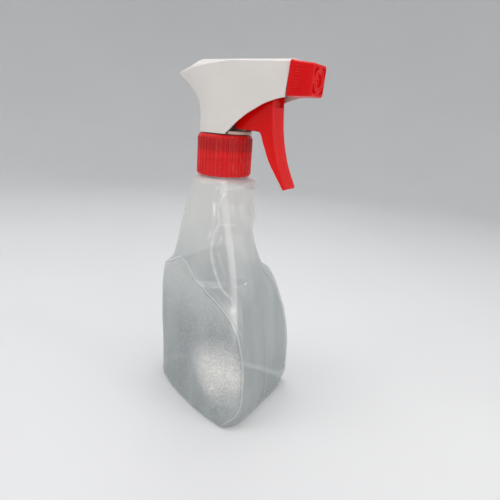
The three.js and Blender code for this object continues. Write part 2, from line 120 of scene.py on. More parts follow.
def curve(keys):
    """Smooth monotone curve through (position, value) pairs."""
    xs, ys = np.array(keys, float).T
    slopes = np.diff(ys) / np.diff(xs)
    before, after = np.append(0, slopes), np.append(slopes, 0)
    rising = before * after > 0
    tangents = np.where(rising, 2 * before * after / np.where(rising, before + after, 1), 0)

    def at(x):
        x = np.clip(x, xs[0], xs[-1])
        i = np.clip(np.searchsorted(xs, x, side="right") - 1, 0, len(xs) - 2)
        span = xs[i + 1] - xs[i]
        t = (x - xs[i]) / span
        bend = t * t * (3 - 2 * t)
        return (ys[i] * (1 - bend) + ys[i + 1] * bend
                + span * (t * (1 - t) ** 2 * tangents[i] - t * t * (1 - t) * tangents[i + 1]))

    return at


def spline(points, count):
    """Smooth path through points: count points, evenly spaced along a Catmull-Rom line."""
    points = np.array(points, float)
    padded = np.vstack((2 * points[0] - points[1], points, 2 * points[-1] - points[-2]))
    fine = []
    t = np.linspace(0, 1, 24, endpoint=False)[:, None]
    for a, b, c, d in zip(padded, padded[1:], padded[2:], padded[3:]):
        fine.append(0.5 * (2 * b + (c - a) * t + (2 * a - 5 * b + 4 * c - d) * t ** 2
                           + (3 * b - a - 3 * c + d) * t ** 3))
    return polyline(np.vstack((*fine, points[-1:])), count)


def polyline(points, count):
    """Straight lines through points: count points, evenly spaced along them."""
    points = np.array(points, float)
    along = np.append(0, np.cumsum(np.linalg.norm(np.diff(points, axis=0), axis=1)))
    wanted = np.linspace(0, along[-1], count)
    return np.column_stack([np.interp(wanted, along, points[:, k]) for k in range(points.shape[1])])


# ------------------------------------------------ mesh helpers

def build(name, vertices, faces, material, body, stands_for=(), sharp=None):
    """A mesh object from millimetre points, shaded smooth, riding on a CAD body."""
    mesh = bpy.data.meshes.new(name)
    mesh.from_pydata((np.asarray(vertices, float) * MM).tolist(), [], faces)
    mesh.update()
    mesh.shade_smooth()
    if sharp is not None:
        mesh.set_sharp_from_angle(angle=math.radians(sharp))
    piece = bpy.data.objects.new(name, mesh)
    bpy.context.scene.collection.objects.link(piece)
    mesh.materials.append(material)
    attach(piece, body)
    if stands_for:
        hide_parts(*stands_for)
    return piece


def paint(piece, name, values):
    """Stores one number per vertex, for a material to read by name."""
    attribute = piece.data.attributes.new(name, "FLOAT", "POINT")
    attribute.data.foreach_set("value", values.astype(np.float32))


def grid_faces(rows, columns, closed=False):
    """Quads over a grid of points stored row by row."""
    last = columns if closed else columns - 1
    r, c = np.meshgrid(np.arange(rows - 1), np.arange(last), indexing="ij")
    a = (r * columns + c).ravel()
    b = (r * columns + (c + 1) % columns).ravel()
    return np.column_stack((a, b, b + columns, a + columns)).tolist()


def fan(row_start, count, centre, flip=False):
    """Triangles from a ring's points to one in its middle."""
    faces = [[centre, row_start + i, row_start + (i + 1) % count] for i in range(count)]
    return [face[::-1] for face in faces] if flip else faces


def loft(rings, cap_first=True, cap_last=True):
    """Vertices and faces of a skin over closed rings of points."""
    rings = np.asarray(rings, float)
    rows, count = rings.shape[:2]
    vertices = list(rings.reshape(-1, 3))
    faces = grid_faces(rows, count, closed=True)
    if cap_first:
        vertices.append(rings[0].mean(axis=0))
        faces += fan(0, count, len(vertices) - 1, flip=True)
    if cap_last:
        vertices.append(rings[-1].mean(axis=0))
        faces += fan((rows - 1) * count, count, len(vertices) - 1)
    return np.array(vertices), faces


def looped(rings):
    """Skin over closed rings of points, with the last ring joined to the first."""
    rows, count = np.shape(rings)[:2]
    vertices, faces = loft(rings, cap_first=False, cap_last=False)
    last = (rows - 1) * count
    faces += [[last + i, last + (i + 1) % count, (i + 1) % count, i] for i in range(count)]
    return vertices, faces


def turned_rings(profile, segments):
    """Rings about +Z from (radius, height) pairs."""
    angles = np.linspace(0, 2 * math.pi, segments, endpoint=False)
    return np.array([[(r * math.cos(a), r * math.sin(a), z) for a in angles] for r, z in profile])


def rounded(profile, radius):
    """Rounds the corners of a (radius, height) profile; its two ends stay."""
    points = [np.array(p, float) for p in profile]
    out = [points[0]]
    for before, corner, after in zip(points, points[1:], points[2:]):
        into, away = before - corner, after - corner
        room = min(radius, 0.45 * np.linalg.norm(into), 0.45 * np.linalg.norm(away))
        start = corner + into / np.linalg.norm(into) * room
        end = corner + away / np.linalg.norm(away) * room
        for t in np.linspace(0, 1, 5):
            out.append((1 - t) ** 2 * start + 2 * t * (1 - t) * corner + t * t * end)
    out.append(points[-1])
    return out


def turned(profile, segments=96, radius=0.3):
    """Closed turned solid; a profile that starts and ends on the axis."""
    profile = rounded(profile, radius)
    return loft(turned_rings(profile, segments), cap_first=False, cap_last=False)


def turned_ring(profile):
    """Turned ring from a closed profile of at least three corners."""
    closed = [profile[-1], *profile, profile[0]]
    return looped(turned_rings(rounded(closed, 0.3)[1:-1], 96))


def merged(*parts):
    """Joins several (vertices, faces) pairs into one."""
    vertices, faces = [], []
    for points, quads in parts:
        offset = sum(len(v) for v in vertices)
        vertices.append(np.asarray(points, float))
        faces += [[i + offset for i in quad] for quad in quads]
    return np.vstack(vertices), faces


def moved(part, turn=None, shift=(0, 0, 0)):
    """Turns a (vertices, faces) pair about the origin, then shifts it."""
    points, faces = part
    points = np.asarray(points, float)
    if turn is not None:
        points = points @ np.array(turn.to_3x3()).T
    return points + np.array(shift), faces


def swept(path, radius, sides, bore=None):
    """Tube along a path of points, solid or with a bore."""
    path = np.asarray(path, float)
    tangent = np.gradient(path, axis=0)
    tangent /= np.linalg.norm(tangent, axis=1)[:, None]
    side = np.cross(tangent[0], (0.0, 1.0, 0.0))
    if np.linalg.norm(side) < 1e-6:
        side = np.array((1.0, 0.0, 0.0))
    angles = np.linspace(0, 2 * math.pi, sides, endpoint=False)
    rings = []
    for point, along in zip(path, tangent):
        side = side - along * side.dot(along)
        side /= np.linalg.norm(side)
        up = np.cross(along, side)
        rings.append([(side * math.cos(a) + up * math.sin(a), point) for a in angles])

    def at(reach):
        return np.array([[d * reach + p for d, p in ring] for ring in rings])

    if bore is None:
        return loft(at(radius))
    outer, inner = at(radius), at(bore)
    part, hole = loft(outer, False, False), loft(inner[::-1], False, False)
    vertices, faces = merged(part, hole)
    rows, count = outer.shape[:2]
    end = (rows - 1) * count
    inside = rows * count
    last = inside + end
    for i in range(count):
        j = (i + 1) % count
        faces.append([j, last + j, last + i, i])
        faces.append([end + i, inside + i, inside + j, end + j])
    return vertices, faces


def box_part(x0, x1, y0, y1, z0, z1, edge=0.3):
    """Block with rounded edges, as a loft along X."""
    ring = []
    for sy, sz, begin in ((1, 1, 0), (-1, 1, 90), (-1, -1, 180), (1, -1, 270)):
        cy = (y1 if sy > 0 else y0) - sy * edge
        cz = (z1 if sz > 0 else z0) - sz * edge
        for a in np.radians(np.linspace(begin, begin + 90, 5)):
            ring.append((cy, cz, math.cos(a), math.sin(a)))
    rings = []
    for x, reach in ((x0, 0), (x0 + edge * 0.3, edge * 0.7), (x0 + edge, edge),
                     (x1 - edge, edge), (x1 - edge * 0.3, edge * 0.7), (x1, 0)):
        rings.append([(x, cy + c * reach, cz + s * reach) for cy, cz, c, s in ring])
    return loft(rings)


# ------------------------------------------------ materials

class Nodes:
    """Short calls for building a node tree round a Principled shader."""

    def __init__(self, name):
        self.material = bpy.data.materials.new(name)
        self.material.use_nodes = True
        self.tree = self.material.node_tree
        self.shader = self.tree.nodes["Principled BSDF"]
        self.place = self.add("ShaderNodeTexCoord").outputs["Object"]

    def feed(self, socket, value):
        """Links a socket to another node's output, or sets its constant."""
        if isinstance(value, bpy.types.NodeSocket):
            self.tree.links.new(value, socket)
        else:
            socket.default_value = value

    def add(self, kind, inputs=None, **settings):
        node = self.tree.nodes.new(kind)
        for key, value in settings.items():
            setattr(node, key, value)
        for key, value in (inputs or {}).items():
            self.feed(node.inputs[key], value)
        return node

    def noise(self, scale, detail=3, vector=None, rough=0.5):
        return self.add("ShaderNodeTexNoise", {"Vector": vector or self.place, "Scale": scale,
                                               "Detail": detail, "Roughness": rough}).outputs["Fac"]

    def stretched(self, scales):
        return self.add("ShaderNodeMapping", {"Vector": self.place, "Scale": scales}).outputs[0]

    def math(self, operation, a, b=0.0, c=0.0):
        node = self.add("ShaderNodeMath", {0: a, 1: b, 2: c}, operation=operation)
        return node.outputs[0]

    def range(self, value, low, high, to_low=0.0, to_high=1.0):
        return self.add("ShaderNodeMapRange", {"Value": value, "From Min": low, "From Max": high,
                                               "To Min": to_low, "To Max": to_high},
                        interpolation_type="SMOOTHSTEP").outputs[0]

    def blend(self, amount, a, b):
        """Mixes two colours, each a socket or an (r, g, b)."""
        node = self.add("ShaderNodeMix", {0: amount}, data_type="RGBA")
        for number, colour in ((6, a), (7, b)):
            known = not isinstance(colour, bpy.types.NodeSocket)
            self.feed(node.inputs[number], (*colour, 1) if known else colour)
        return node.outputs[2]

    def attribute(self, name):
        return self.add("ShaderNodeAttribute", attribute_name=name).outputs["Fac"]

    def split(self, vector):
        return self.add("ShaderNodeSeparateXYZ", {"Vector": vector}).outputs

    def bump(self, layers):
        """Stacks (height, distance in metres, strength) layers."""
        normal = None
        for height, distance, strength in layers:
            inputs = {"Height": height, "Distance": distance, "Strength": strength}
            if normal is not None:
                inputs["Normal"] = normal
            normal = self.add("ShaderNodeBump", inputs).outputs[0]
        self.tree.links.new(normal, self.shader.inputs["Normal"])

    def set(self, **values):
        for key, value in values.items():
            self.feed(self.shader.inputs[key.replace("_", " ")], value)


def moulded(name, colour, deeper, rough, grain=0.00002, scuffs=0.5, **extra):
    """Moulded plastic: slight colour drift, orange peel, fine scuffs and dulled high spots."""
    n = Nodes(name)
    drift = n.noise(28, 3)
    fine = n.noise(420, 4)
    scratches = n.noise(1.0, 4, n.stretched((260, 2400, 900)), 0.7)
    marks = n.range(scratches, 0.62, 0.74)
    paler_patches = n.range(n.noise(90, 5, rough=0.65), 0.56, 0.72)
    colours = n.blend(n.range(drift, 0.3, 0.7), colour, deeper)
    lighter = tuple(min(1, c * 0.86 + 0.1) for c in colour)
    haze = n.math("MULTIPLY", n.math("MULTIPLY", marks, paler_patches), 0.35 * scuffs)
    n.set(Base_Color=n.blend(haze, colours, lighter))
    dull = n.math("MULTIPLY_ADD", fine, 0.09, rough - 0.05)
    n.set(Roughness=n.math("MULTIPLY_ADD", paler_patches, 0.08 * scuffs, dull), **extra)
    n.bump([(fine, grain, 0.6), (n.noise(130, 2), 0.00006, 0.35), (marks, 0.00001, 0.25 * scuffs)])
    return n.material


# pink of the painted reflection of the red collar on the bottle's shoulder
COLLAR_REFLECTION_PINK = (0.90, 0.42, 0.42)
# white of the painted highlight lines on the bottle
RIDGE_HIGHLIGHT_WHITE = (1.0, 1.0, 0.98)


def milky_material(name, low, high, pale, fade, opacity, rough, pebbled=False):
    """Cloudy polyethylene, smooth or pebbled, turning paler upwards, with painted highlights: whiter lines on its
    raised edges, lip and seam.

    Just under the collar it has a painted reflection: a pink tint standing for red light from the collar.
    """
    n = Nodes(name)
    drift = n.noise(16, 3)
    flow = n.noise(1.0, 3, n.stretched((60, 60, 14)))
    cloudy = n.blend(n.range(drift, 0.3, 0.7), low, high)
    streaked = n.blend(n.range(flow, 0.42, 0.72, 0.0, 0.25), cloudy, pale)
    height = n.split(n.place)[2]
    upwards = n.range(height, *fade, 0.0, 0.9)
    # painted reflection of the red collar: a pink band just under it
    collar_reflection = n.math("MULTIPLY", n.range(height, 0.1475, 0.1505, 0.0, 0.32),
                          n.range(height, 0.1525, 0.1545, 1.0, 0.0))
    body = n.blend(collar_reflection, n.blend(upwards, streaked, pale), COLLAR_REFLECTION_PINK)
    peel = n.noise(300, 3)
    layers = [(peel, 0.00003, 0.5)]
    if pebbled:
        pebble = n.add("ShaderNodeTexVoronoi", {"Vector": n.place, "Scale": 640.0,
                                                "Randomness": 0.95}, feature="F1")
        grain = n.math("MULTIPLY_ADD", n.noise(700, 1), 0.7, pebble.outputs["Distance"])
        layers.insert(0, (grain, 0.00056, 1.0))
        body = n.blend(n.range(grain, 0.6, 1.1, 0.0, 0.14), body, (0.95, 0.97, 0.96))
    # painted highlights: whiter lines stored on the mesh
    ridge_highlights = n.attribute("ridge_highlights")
    n.set(Base_Color=n.blend(ridge_highlights, body, RIDGE_HIGHLIGHT_WHITE))
    polished = n.range(ridge_highlights, 0.0, 1.0, 1.0, 0.6)
    n.set(Roughness=n.math("MULTIPLY", n.math("MULTIPLY_ADD", peel, 0.1, rough), polished))
    n.bump(layers)
    n.set(Alpha=opacity, IOR=1.5, Specular_IOR_Level=0.7)
    return n.material


def collar_material():
    """Red plastic, thin enough for the threads and the seal behind it to show as darker rows."""
    n = Nodes("collar_red")
    x, y, z = n.split(n.place)
    turn = n.math("DIVIDE", n.math("ARCTAN2", y, x), 2 * math.pi)
    lead = n.math("SUBTRACT", n.math("DIVIDE", z, PITCH * MM), turn)
    row = n.math("ABSOLUTE", n.math("SUBTRACT", n.math("FRACT", lead), 0.5))
    row = n.range(row, 0.06, 0.3, 1.0, 0.0)
    uneven = n.range(n.noise(520, 2), 0.35, 0.65)
    row = n.math("MULTIPLY", row, n.math("MULTIPLY_ADD", uneven, 0.6, 0.3))
    above_foot = n.range(z, 0.1585, 0.1605)
    seal = n.math("MULTIPLY", n.range(z, 0.1665, 0.1678), n.range(z, 0.1752, 0.1738))
    red = n.blend(n.range(n.noise(60, 3), 0.3, 0.7), (0.80, 0.012, 0.014), (0.72, 0.008, 0.010))
    threads = n.math("MULTIPLY", n.math("MULTIPLY", row, above_foot), 0.55)
    red = n.blend(threads, red, (0.62, 0.002, 0.003))
    red = n.blend(n.math("MULTIPLY", seal, 0.5), red, (0.36, 0.006, 0.006))
    # Rib crests turn paler in patches.
    crest = n.range(n.attribute("crest"), 0.5, 1.0)
    paler_patches = n.math("MULTIPLY", crest, n.range(n.noise(200, 4, rough=0.7), 0.5, 0.75))
    n.set(Base_Color=n.blend(n.math("MULTIPLY", paler_patches, 0.22), red, (0.86, 0.22, 0.22)))
    n.set(Roughness=n.math("MULTIPLY_ADD", n.noise(500, 3), 0.16, 0.24))
    n.set(IOR=1.5, Specular_IOR_Level=0.3)
    n.bump([(n.noise(700, 3), 0.00002, 0.6), (n.noise(150, 2), 0.00005, 0.4)])
    return n.material


MILK = {"low": (0.44, 0.49, 0.505), "high": (0.50, 0.545, 0.555), "pale": (0.86, 0.86, 0.83),
        "fade": (0.07, 0.14)}
MILKY = milky_material("milky_hdpe", **MILK, opacity=0.52, rough=0.12)
INSIDE = milky_material("milky_hdpe_inside", **MILK, opacity=0.12, rough=0.5)
PEBBLED = milky_material("pebbled_hdpe", (0.32, 0.355, 0.37), (0.37, 0.405, 0.415),
                         (0.66, 0.69, 0.68), (0.05, 0.09), opacity=0.78, rough=0.29, pebbled=True)
COLLAR = collar_material()
NOZZLE = moulded("nozzle_red", (0.80, 0.003, 0.005), (0.72, 0.002, 0.004), 0.3,
                 Specular_IOR_Level=0.18)
TRIGGER = moulded("trigger_red", (0.84, 0.002, 0.002), (0.74, 0.002, 0.002), 0.22,
                  Specular_IOR_Level=0.26)
WHITE = moulded("shroud_white", (0.80, 0.755, 0.72), (0.765, 0.725, 0.69), 0.42)
BEIGE = moulded("pump_beige", (0.60, 0.47, 0.40), (0.52, 0.40, 0.34), 0.42)
INNER = moulded("inner_white", (0.78, 0.77, 0.74), (0.72, 0.70, 0.67), 0.38)
# The tube glows faintly: painted light, so it stays bright inside the bottle.
SELF_LIT_TUBE = moulded("tube_clear", (0.97, 0.97, 0.95), (0.93, 0.94, 0.92), 0.24, scuffs=0.3,
                Emission_Color=(1.0, 1.0, 0.96, 1.0), Emission_Strength=0.22)
RUBBER = moulded("seal_rubber", (0.035, 0.034, 0.033), (0.05, 0.048, 0.046), 0.62, scuffs=0.8)
STEEL = moulded("spring_steel", (0.62, 0.62, 0.63), (0.52, 0.52, 0.54), 0.26, Metallic=1.0)


# ------------------------------------------------ bottle

# By height: reaches in millimetres, shares, and the grip's edge in degrees. The two plans are
# radii by degrees from the front. All repeat part.mjs.
front_reach = curve([[0, 41.7], [4.3, 41.8], [9, 42.8], [17, 43.5], [28, 43.2], [36, 42.8],
                     [42, 42.2], [50.6, 40.9], [58.8, 39.2], [66.2, 38.2], [72, 37.6], [77, 37.1],
                     [82, 36.2], [88, 33.8], [94, 31], [100, 28.2], [106, 25.6], [112, 23.4],
                     [119.5, 21.8], [128, 23.2], [138, 20.8], [146, 22.8], [149, 21.6],
                     [150.6, 18], [151.3, 12.3]])
side_reach = curve([[0, 39.4], [10, 40.8], [17, 41.2], [28, 42.5], [36, 42], [42, 39.7],
                    [50.6, 37.8], [58.8, 36], [66.2, 36.8], [72, 37.3], [77, 36.9], [83.3, 35.9],
                    [88.6, 34.6], [90.5, 30.8], [92.4, 29.4], [98, 27], [105, 24.8], [112, 23.2],
                    [120, 21.8], [138, 19.8], [147, 19.2], [150.6, 17], [151.3, 12.3]])
back_reach = curve([[80, 60], [84, 46], [87, 41], [90, 37.8], [93.5, 34.2], [97, 32.4],
                    [105, 30.5], [114, 28.9], [122.7, 26.9], [131, 24.8], [139.6, 22],
                    [147.8, 19], [150.6, 17], [151.3, 12.3]])
front_squareness = curve([[0, 5.3], [10, 6.6], [20, 6.8], [40, 8], [58.8, 7], [66.2, 4.5],
                          [72, 3.5], [77, 3], [83.3, 2.5], [88.6, 2.2], [92, 2]])
foot_plan = curve([[0, 46], [24, 49.8], [32.6, 52.2], [39.2, 53.2], [43.5, 52.2], [47.5, 49.6],
                   [52, 45.8], [58.3, 41.6], [68, 36.4], [79.2, 32.5], [92, 29.6], [105, 28.5],
                   [118.6, 28.7], [134, 30.8], [149, 34.6], [160, 39], [168, 42.4], [174, 44.2],
                   [180, 44.8]])
upper_plan = curve([[0, 56], [28, 56], [32.2, 54.4], [34, 51.6], [35.6, 49.4], [37.7, 47.6],
                    [40.5, 45.4], [44.3, 43.5], [49.6, 41.4], [57.9, 38.4], [67, 36.1],
                    [79.2, 32.4], [92, 29.4], [105, 28.4], [118.6, 28.7], [134, 30.8],
                    [149, 34.6], [160, 39], [168, 42.4], [174, 44.2], [180, 44.8]])
plan_change = curve([[4, 0], [24, 0.5], [42, 0.9], [54, 1]])
back_draft = curve([[0, 1], [20, 1.005], [50, 1.03], [68, 1.03], [85, 0.99], [95, 0.96]])
grip_edge = curve([[70, 36], [76.7, 39.7], [82.9, 42.3], [86.5, 47.4], [89.6, 51.7], [95, 57.4],
                   [101.4, 62.9], [108, 66.9], [113, 66.6], [118.5, 64.7], [122.5, 60],
                   [124.9, 57.1], [128, 59.5], [133.2, 60.5], [138.7, 56.4], [142.9, 50],
                   [145.6, 43.7], [148, 36]])


def slope_size(values, angles, heights, reach):
    """Size of the gradient of values over the surface, per millimetre."""
    by_height, by_angle = np.gradient(values, heights, angles)
    return np.sqrt(by_height ** 2 + (by_angle / reach) ** 2) + 1e-3


def upper_form(angles, heights, lines):
    """Radius of the neck, grip and front, distance inside the grip's edge, and the ridge's share.

    The grip lies 2 mm deeper than the skin round it: two steps low down, and one above z 120.
    """
    angle, z = np.meshgrid(angles, heights)
    degrees = np.abs(np.degrees(angle))
    forward = np.cos(angle)
    power = np.where(forward > 0, front_squareness(z), 2)
    reach = np.where(forward > 0, front_reach(z), back_reach(z))
    radius = ((np.abs(forward) / reach) ** power
              + (np.abs(np.sin(angle)) / side_reach(z)) ** power) ** (-1 / power)
    edge = grip_edge(z) - degrees
    inside_grip = edge / slope_size(edge, angles, heights, radius)
    depth_share = (smoothstep(degrees, 12, 34) * smoothstep(z, 74, 90)
                   * (1 - smoothstep(z, 144, 148)))
    high = smoothstep(z, 110, 120)
    first_step = (1.1 + 0.9 * high) * smoothstep(inside_grip, 0, 1.3 + 1.2 * high)
    second_step = 0.9 * (1 - high) * smoothstep(inside_grip, 3.4, 5.8)
    ridge = smoothstep(z, 78, 88) * (1 - smoothstep(z, 142, 146))
    radius = (radius - depth_share * (first_step + second_step)
              + lines * ridge * (0.4 * bead(inside_grip + 0.5, 0.7)
                                 + 0.12 * (1 - high) * bead(inside_grip - 3.2, 0.6)))
    return radius, inside_grip, ridge


def bottle_surface(angles, heights, lines=1.0):
    """Radius, panel mask and painted highlight lines of the moulded skin, over a grid of heights by angles.

    The skin is the smaller of an upper form, with the grip and the front, and the plan of the two
    panels, which stand almost upright. With lines at 0 it has no raised lines.
    """
    angle, z = np.meshgrid(angles, heights)
    degrees = np.abs(np.degrees(angle))
    upper, inside_grip, ridge = upper_form(angles, heights, lines)
    plan = foot_plan(degrees) + (upper_plan(degrees) - foot_plan(degrees)) * plan_change(z)
    panel = plan * (1 + (back_draft(z) - 1) * smoothstep(degrees, 55, 110))
    gap = upper - panel
    inside_panel = gap / slope_size(gap, angles, heights, np.minimum(upper, panel))
    above_foot = smoothstep(z, 1, 6)
    recess = smoothstep(inside_panel, 0.8, 1.5)
    swell = 0.8 * bead(z - 20, 15) * bead(degrees - 54, 16)
    second_line = (bead(inside_panel + 2.1, 0.4) * (1 - smoothstep(degrees, 62, 80))
                   * above_foot)
    border = lines * (0.3 * bead(inside_panel, 0.55) - 0.22 * second_line)
    detail = (swell - 0.4) * recess * above_foot + border
    fillet = 2 - np.sqrt(np.maximum(0, 4 - np.maximum(0, 2 - z) ** 2))
    off_middle = np.sin(angle) * upper
    seam = lines * 0.2 * bead(off_middle, 0.25) * smoothstep(z, 2, 4)
    foot_line = lines * 0.1 * bead(z - 6.2, 0.5)
    rounding = 1.2 + 3.5 * smoothstep(degrees, 105, 150)
    radius = smooth_min(upper, panel, rounding) + detail - fillet + seam + foot_line

    # Painted highlights: whiter lines along the grip's edge, the panel's border, the seam and the second line, and
    # painted glints on the lip, the ledge, the grip's tip and the wedge.
    uneven = 0.75 + 0.25 * np.sin(z * 0.9) * np.sin(z * 0.23 + 1)
    grip_line = uneven * ridge * bead(inside_grip + 0.3, 0.75)
    border_line = bead(inside_panel, 0.5) * above_foot
    seam_line = bead(off_middle, 0.5) * smoothstep(z, 2, 10) * (1 - smoothstep(z, 50, 70))
    wedge = (bead(inside_panel + 2.5, 2.6) * bead(z - 74, 9)
             * (1 - smoothstep(degrees, 52, 66)))
    lip_height = 149 - 3.1 * smoothstep(degrees, 5, 40)
    lip = bead(z - lip_height, 1.0) * (1 - smoothstep(degrees, 42, 56))
    ledge = bead(z - 124, 0.8) * smoothstep(degrees, 24, 34) * (1 - smoothstep(degrees, 52, 60))
    grip_tip = bead(z - 77, 2.2) * bead(degrees - 41.5, 3)
    paler = (0.9 * grip_line + 0.75 * border_line + 0.35 * seam_line + 0.25 * second_line
             + 0.45 * wedge + 0.9 * lip + 0.5 * ledge + 0.7 * grip_tip)
    return radius, recess * above_foot, np.clip(paler, 0, 1)


def grid_points(radius, angles, heights):
    """Points at a radius for each height and angle."""
    return np.stack((radius * np.cos(angles), radius * np.sin(angles),
                     np.broadcast_to(np.asarray(heights)[:, None], radius.shape)), axis=-1)


def neck_skin(angles):
    """Outside of the neck, with its thread."""
    heights = np.linspace(SHOULDER_TOP + 0.2, MOUTH - 0.3, 90)
    angle, z = np.meshgrid(angles, heights)
    turn = (angle % (2 * math.pi)) / (2 * math.pi)
    thread = np.zeros_like(z)
    depth = 1.35
    for lap in (0, 1):
        progress = (turn + lap) / THREAD_TURNS
        middle = THREAD_START + (turn + lap) * PITCH
        fade = np.clip(0.15 + 6 * np.minimum(progress, 1 - progress), 0, 1) * (progress <= 1)
        thread = np.maximum(thread, fade * (1 - smoothstep(np.abs(z - middle), 0.45, 1.15)))
    return grid_points(NECK_RADIUS + depth * thread, angles, heights)


def mouth_rim(angles):
    """From the top of the neck over its rim and down the bore."""
    profile = [(NECK_RADIUS - 0.1, MOUTH - 0.1), (NECK_RADIUS - 0.4, MOUTH),
               (NECK_BORE + 0.3, MOUTH), (NECK_BORE, MOUTH - 0.3), (NECK_BORE, 150.2)]
    return np.array([grid_points(np.full((1, len(angles)), r), angles, [z])[0] for r, z in profile])


def inside_wall(angles):
    """Inside of the bottle, from the root of the neck down to the floor."""
    heights = np.concatenate((np.arange(149.4, 2.4, -1.0), [2.0, 1.3]))[::-1]
    radius = bottle_surface(angles, heights, lines=0.0)[0]
    inset = WALL + np.maximum(0, heights - 140) * 0.12 + 0.3 * (heights < 3)
    return grid_points(radius - inset[:, None], angles, heights)[::-1]


def underside(foot):
    """Slightly raised underside, from its middle out to the ring of points round the foot."""
    rings = []
    for share, lift in ((0.2, 0.7), (0.5, 0.7), (0.8, 0.6), (0.86, 0.35), (0.9, 0.02), (0.97, 0)):
        ring = foot * (share, share, 1)
        ring[:, 2] = lift
        rings.append(ring)
    return np.array(rings)


def bottle_piece(name, vertices, faces, ridge_highlights, finish):
    """The part of the bottle with one finish, and only the vertices that it needs."""
    used, numbers = np.unique(np.concatenate([np.array(f) for f in faces]), return_inverse=True)
    ends = np.cumsum([len(f) for f in faces])[:-1]
    renumbered = [part.tolist() for part in np.split(numbers, ends)]
    piece = build(name, vertices[used], renumbered, finish, "bottle", ("bottle",))
    # the painted highlight lines, one number per vertex, for the material
    paint(piece, "ridge_highlights", ridge_highlights[used])


def make_bottle():
    near_seam = np.radians([0.15, 0.3, 0.45, 0.65, 0.9, 1.2])
    even = np.linspace(-math.pi, math.pi, 760, endpoint=False)
    angles = np.unique(np.round(np.concatenate((
        even, near_seam, -near_seam, math.pi - near_seam, near_seam - math.pi)), 6))
    heights = np.concatenate((2 - 2 * np.cos(np.linspace(0, math.pi / 2, 9)),
                              np.arange(2.4, 150.4, 0.4), np.linspace(150.6, SHOULDER_TOP, 8)))
    heights = np.unique(np.round(heights, 4))
    radius, panel, lines = bottle_surface(angles, heights)
    skin = grid_points(radius, angles, heights)
    bottom, inside = underside(skin[0]), inside_wall(angles)
    rings = np.concatenate((bottom, skin, neck_skin(angles), mouth_rim(angles), inside))
    rings[:, :, 2] += BASE
    vertices, faces = loft(rings)

    mask, ridge_highlights = np.zeros((2, len(vertices)))
    first = len(bottom) * len(angles)
    mask[first:first + panel.size] = panel.ravel()
    # painted highlight lines of the skin
    ridge_highlights[first:first + panel.size] = lines.ravel()
    lining_start = (len(rings) - len(inside) - 1) * len(angles)
    smooth, pebbled, lining = [], [], []
    for face in faces:
        if min(face) >= lining_start:
            lining.append(face)
        elif mask[face].mean() > 0.5:
            pebbled.append(face)
        else:
            smooth.append(face)
    bottle_piece("bottle_moulded", vertices, smooth, ridge_highlights, MILKY)
    bottle_piece("label_panels", vertices, pebbled, ridge_highlights, PEBBLED)
    bottle_piece("bottle_inside", vertices, lining, ridge_highlights, INSIDE)


make_bottle()


# ------------------------------------------------ screw collar

def make_collar():
    low, high = height_range("closure_collar")
    ribs, rib_depth, edge = 40, 0.6, 1.2
    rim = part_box("closure_collar")[1].x / MM - rib_depth
    # (height, radius, share of the ribs' depth), up the outside and down the inside
    outline = [(low, rim - 0.5, 0), (low + 0.1, rim - 0.15, 0), (low + 0.35, rim, 0),
               (low + 0.6, rim, 0), (low + 0.75, rim, 0.5), (low + 1.0, rim, 0.85),
               (low + 1.5, rim, 1)]
    outline += [(z, rim, 1) for z in np.linspace(low + 3, high - 3.4, 12)]
    outline += [(high - 2.6, rim, 1), (high - 2.0, rim, 0.8), (high - 1.6, rim, 0.45),
                (high - 1.4, rim, 0.1)]
    for a in np.radians(np.linspace(0, 90, 7)):
        outline.append((high - edge + edge * math.sin(a), rim - edge + edge * math.cos(a), 0))
    outline += [(high, 11.2, 0), (high - 1.2, 11.2, 0), (high - 1.25, 14.3, 0),
                (low + 0.4, 14.3, 0), (low, 14.7, 0)]

    angles = np.linspace(0, 2 * math.pi, 20 * ribs, endpoint=False)
    rib = smoothstep(np.cos(ribs * angles), -0.55, 0.45)
    rings, crests = [], []
    for z, radius, share in outline:
        radius = radius + rib_depth * share * rib
        rings.append(np.column_stack((radius * np.cos(angles), radius * np.sin(angles),
                                      np.full(len(angles), z))))
        crests.append(rib * share)
    vertices, faces = looped(rings)
    piece = build("collar_ribbed", vertices, faces, COLLAR, "collar",
                  ("closure_collar",), sharp=50)
    paint(piece, "crest", np.concatenate(crests))


make_collar()


# ------------------------------------------------ shroud

shroud_back = curve([[177.2, -15.9], [184, -15.9], [189.3, -16.5], [192.8, -17.4],
                     [197.9, -20.4], [202.3, -25], [207.1, -31.3], [209.9, -35.4],
                     [211.6, -36.6], [212.4, -36.8]])
shroud_front = curve([[177.2, 9.5], [180.1, 12.1], [183.6, 15.3], [186.5, 18.5], [189.4, 22.3],
                      [191.7, 26], [195, 31.6], [197.8, 38.9], [199.2, 43.6]])
shroud_side = curve([[177.2, 15.4], [190, 14.8], [219.3, 14.2]])
roof_fall = curve([[-37, 1.5], [-27.4, 5.6], [-20, 7.2], [-14.4, 5.9], [-3.6, 3.8], [4, 2.9],
                   [11, 2.2], [44, 1.9]])


def roof_ridge(x):
    """Height of the roof's middle line: a slope up from the tail, then level."""
    tail_x, tail_z, rise = -34.6, 210.3, 0.54
    return smooth_min(np.full_like(x, ROOF), tail_z + (x - tail_x) * rise, 0.5)


SHROUD_HALF_WIDTH = 14.4
NOSE_HALF_WIDTH = 9.4
TAPER_START, TAPER_LENGTH = 4, 39.4


